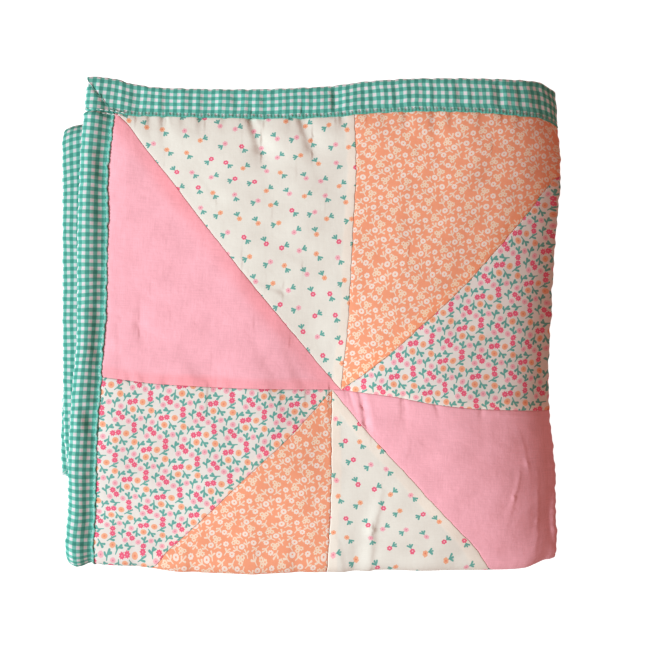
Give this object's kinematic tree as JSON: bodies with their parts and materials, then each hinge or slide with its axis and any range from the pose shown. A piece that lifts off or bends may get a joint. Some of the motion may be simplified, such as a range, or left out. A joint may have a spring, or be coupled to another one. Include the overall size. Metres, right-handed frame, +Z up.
{
  "type": "folded patchwork quilt",
  "caption": "Padded patchwork cot quilt, folded in half and then back and forth, lying flat, with patches of plain and small-flowered cotton and a checked binding with mitred corners.",
  "frame": {"origin": "on the surface that the quilt lies on, under the middle of the folded stack", "axes": "+Z up, off the surface; +Y towards the bound head that lies on top; +X towards the fold in half"},
  "size_m": [0.471, 0.4627, 0.0484],
  "materials": {
    "patchwork": "matt printed and plain cotton lawn in pink, coral and cream, pieced in triangles, softly padded",
    "gingham": "matt woven cotton check in teal and white, padded and stitched"
  },
  "bodies": {
    "root": {"quilt_body": "patchwork", "binding_head": "gingham", "binding_foot": "gingham", "binding_side_upper": "gingham", "binding_side_lower": "gingham"}
  },
  "joints": []
}
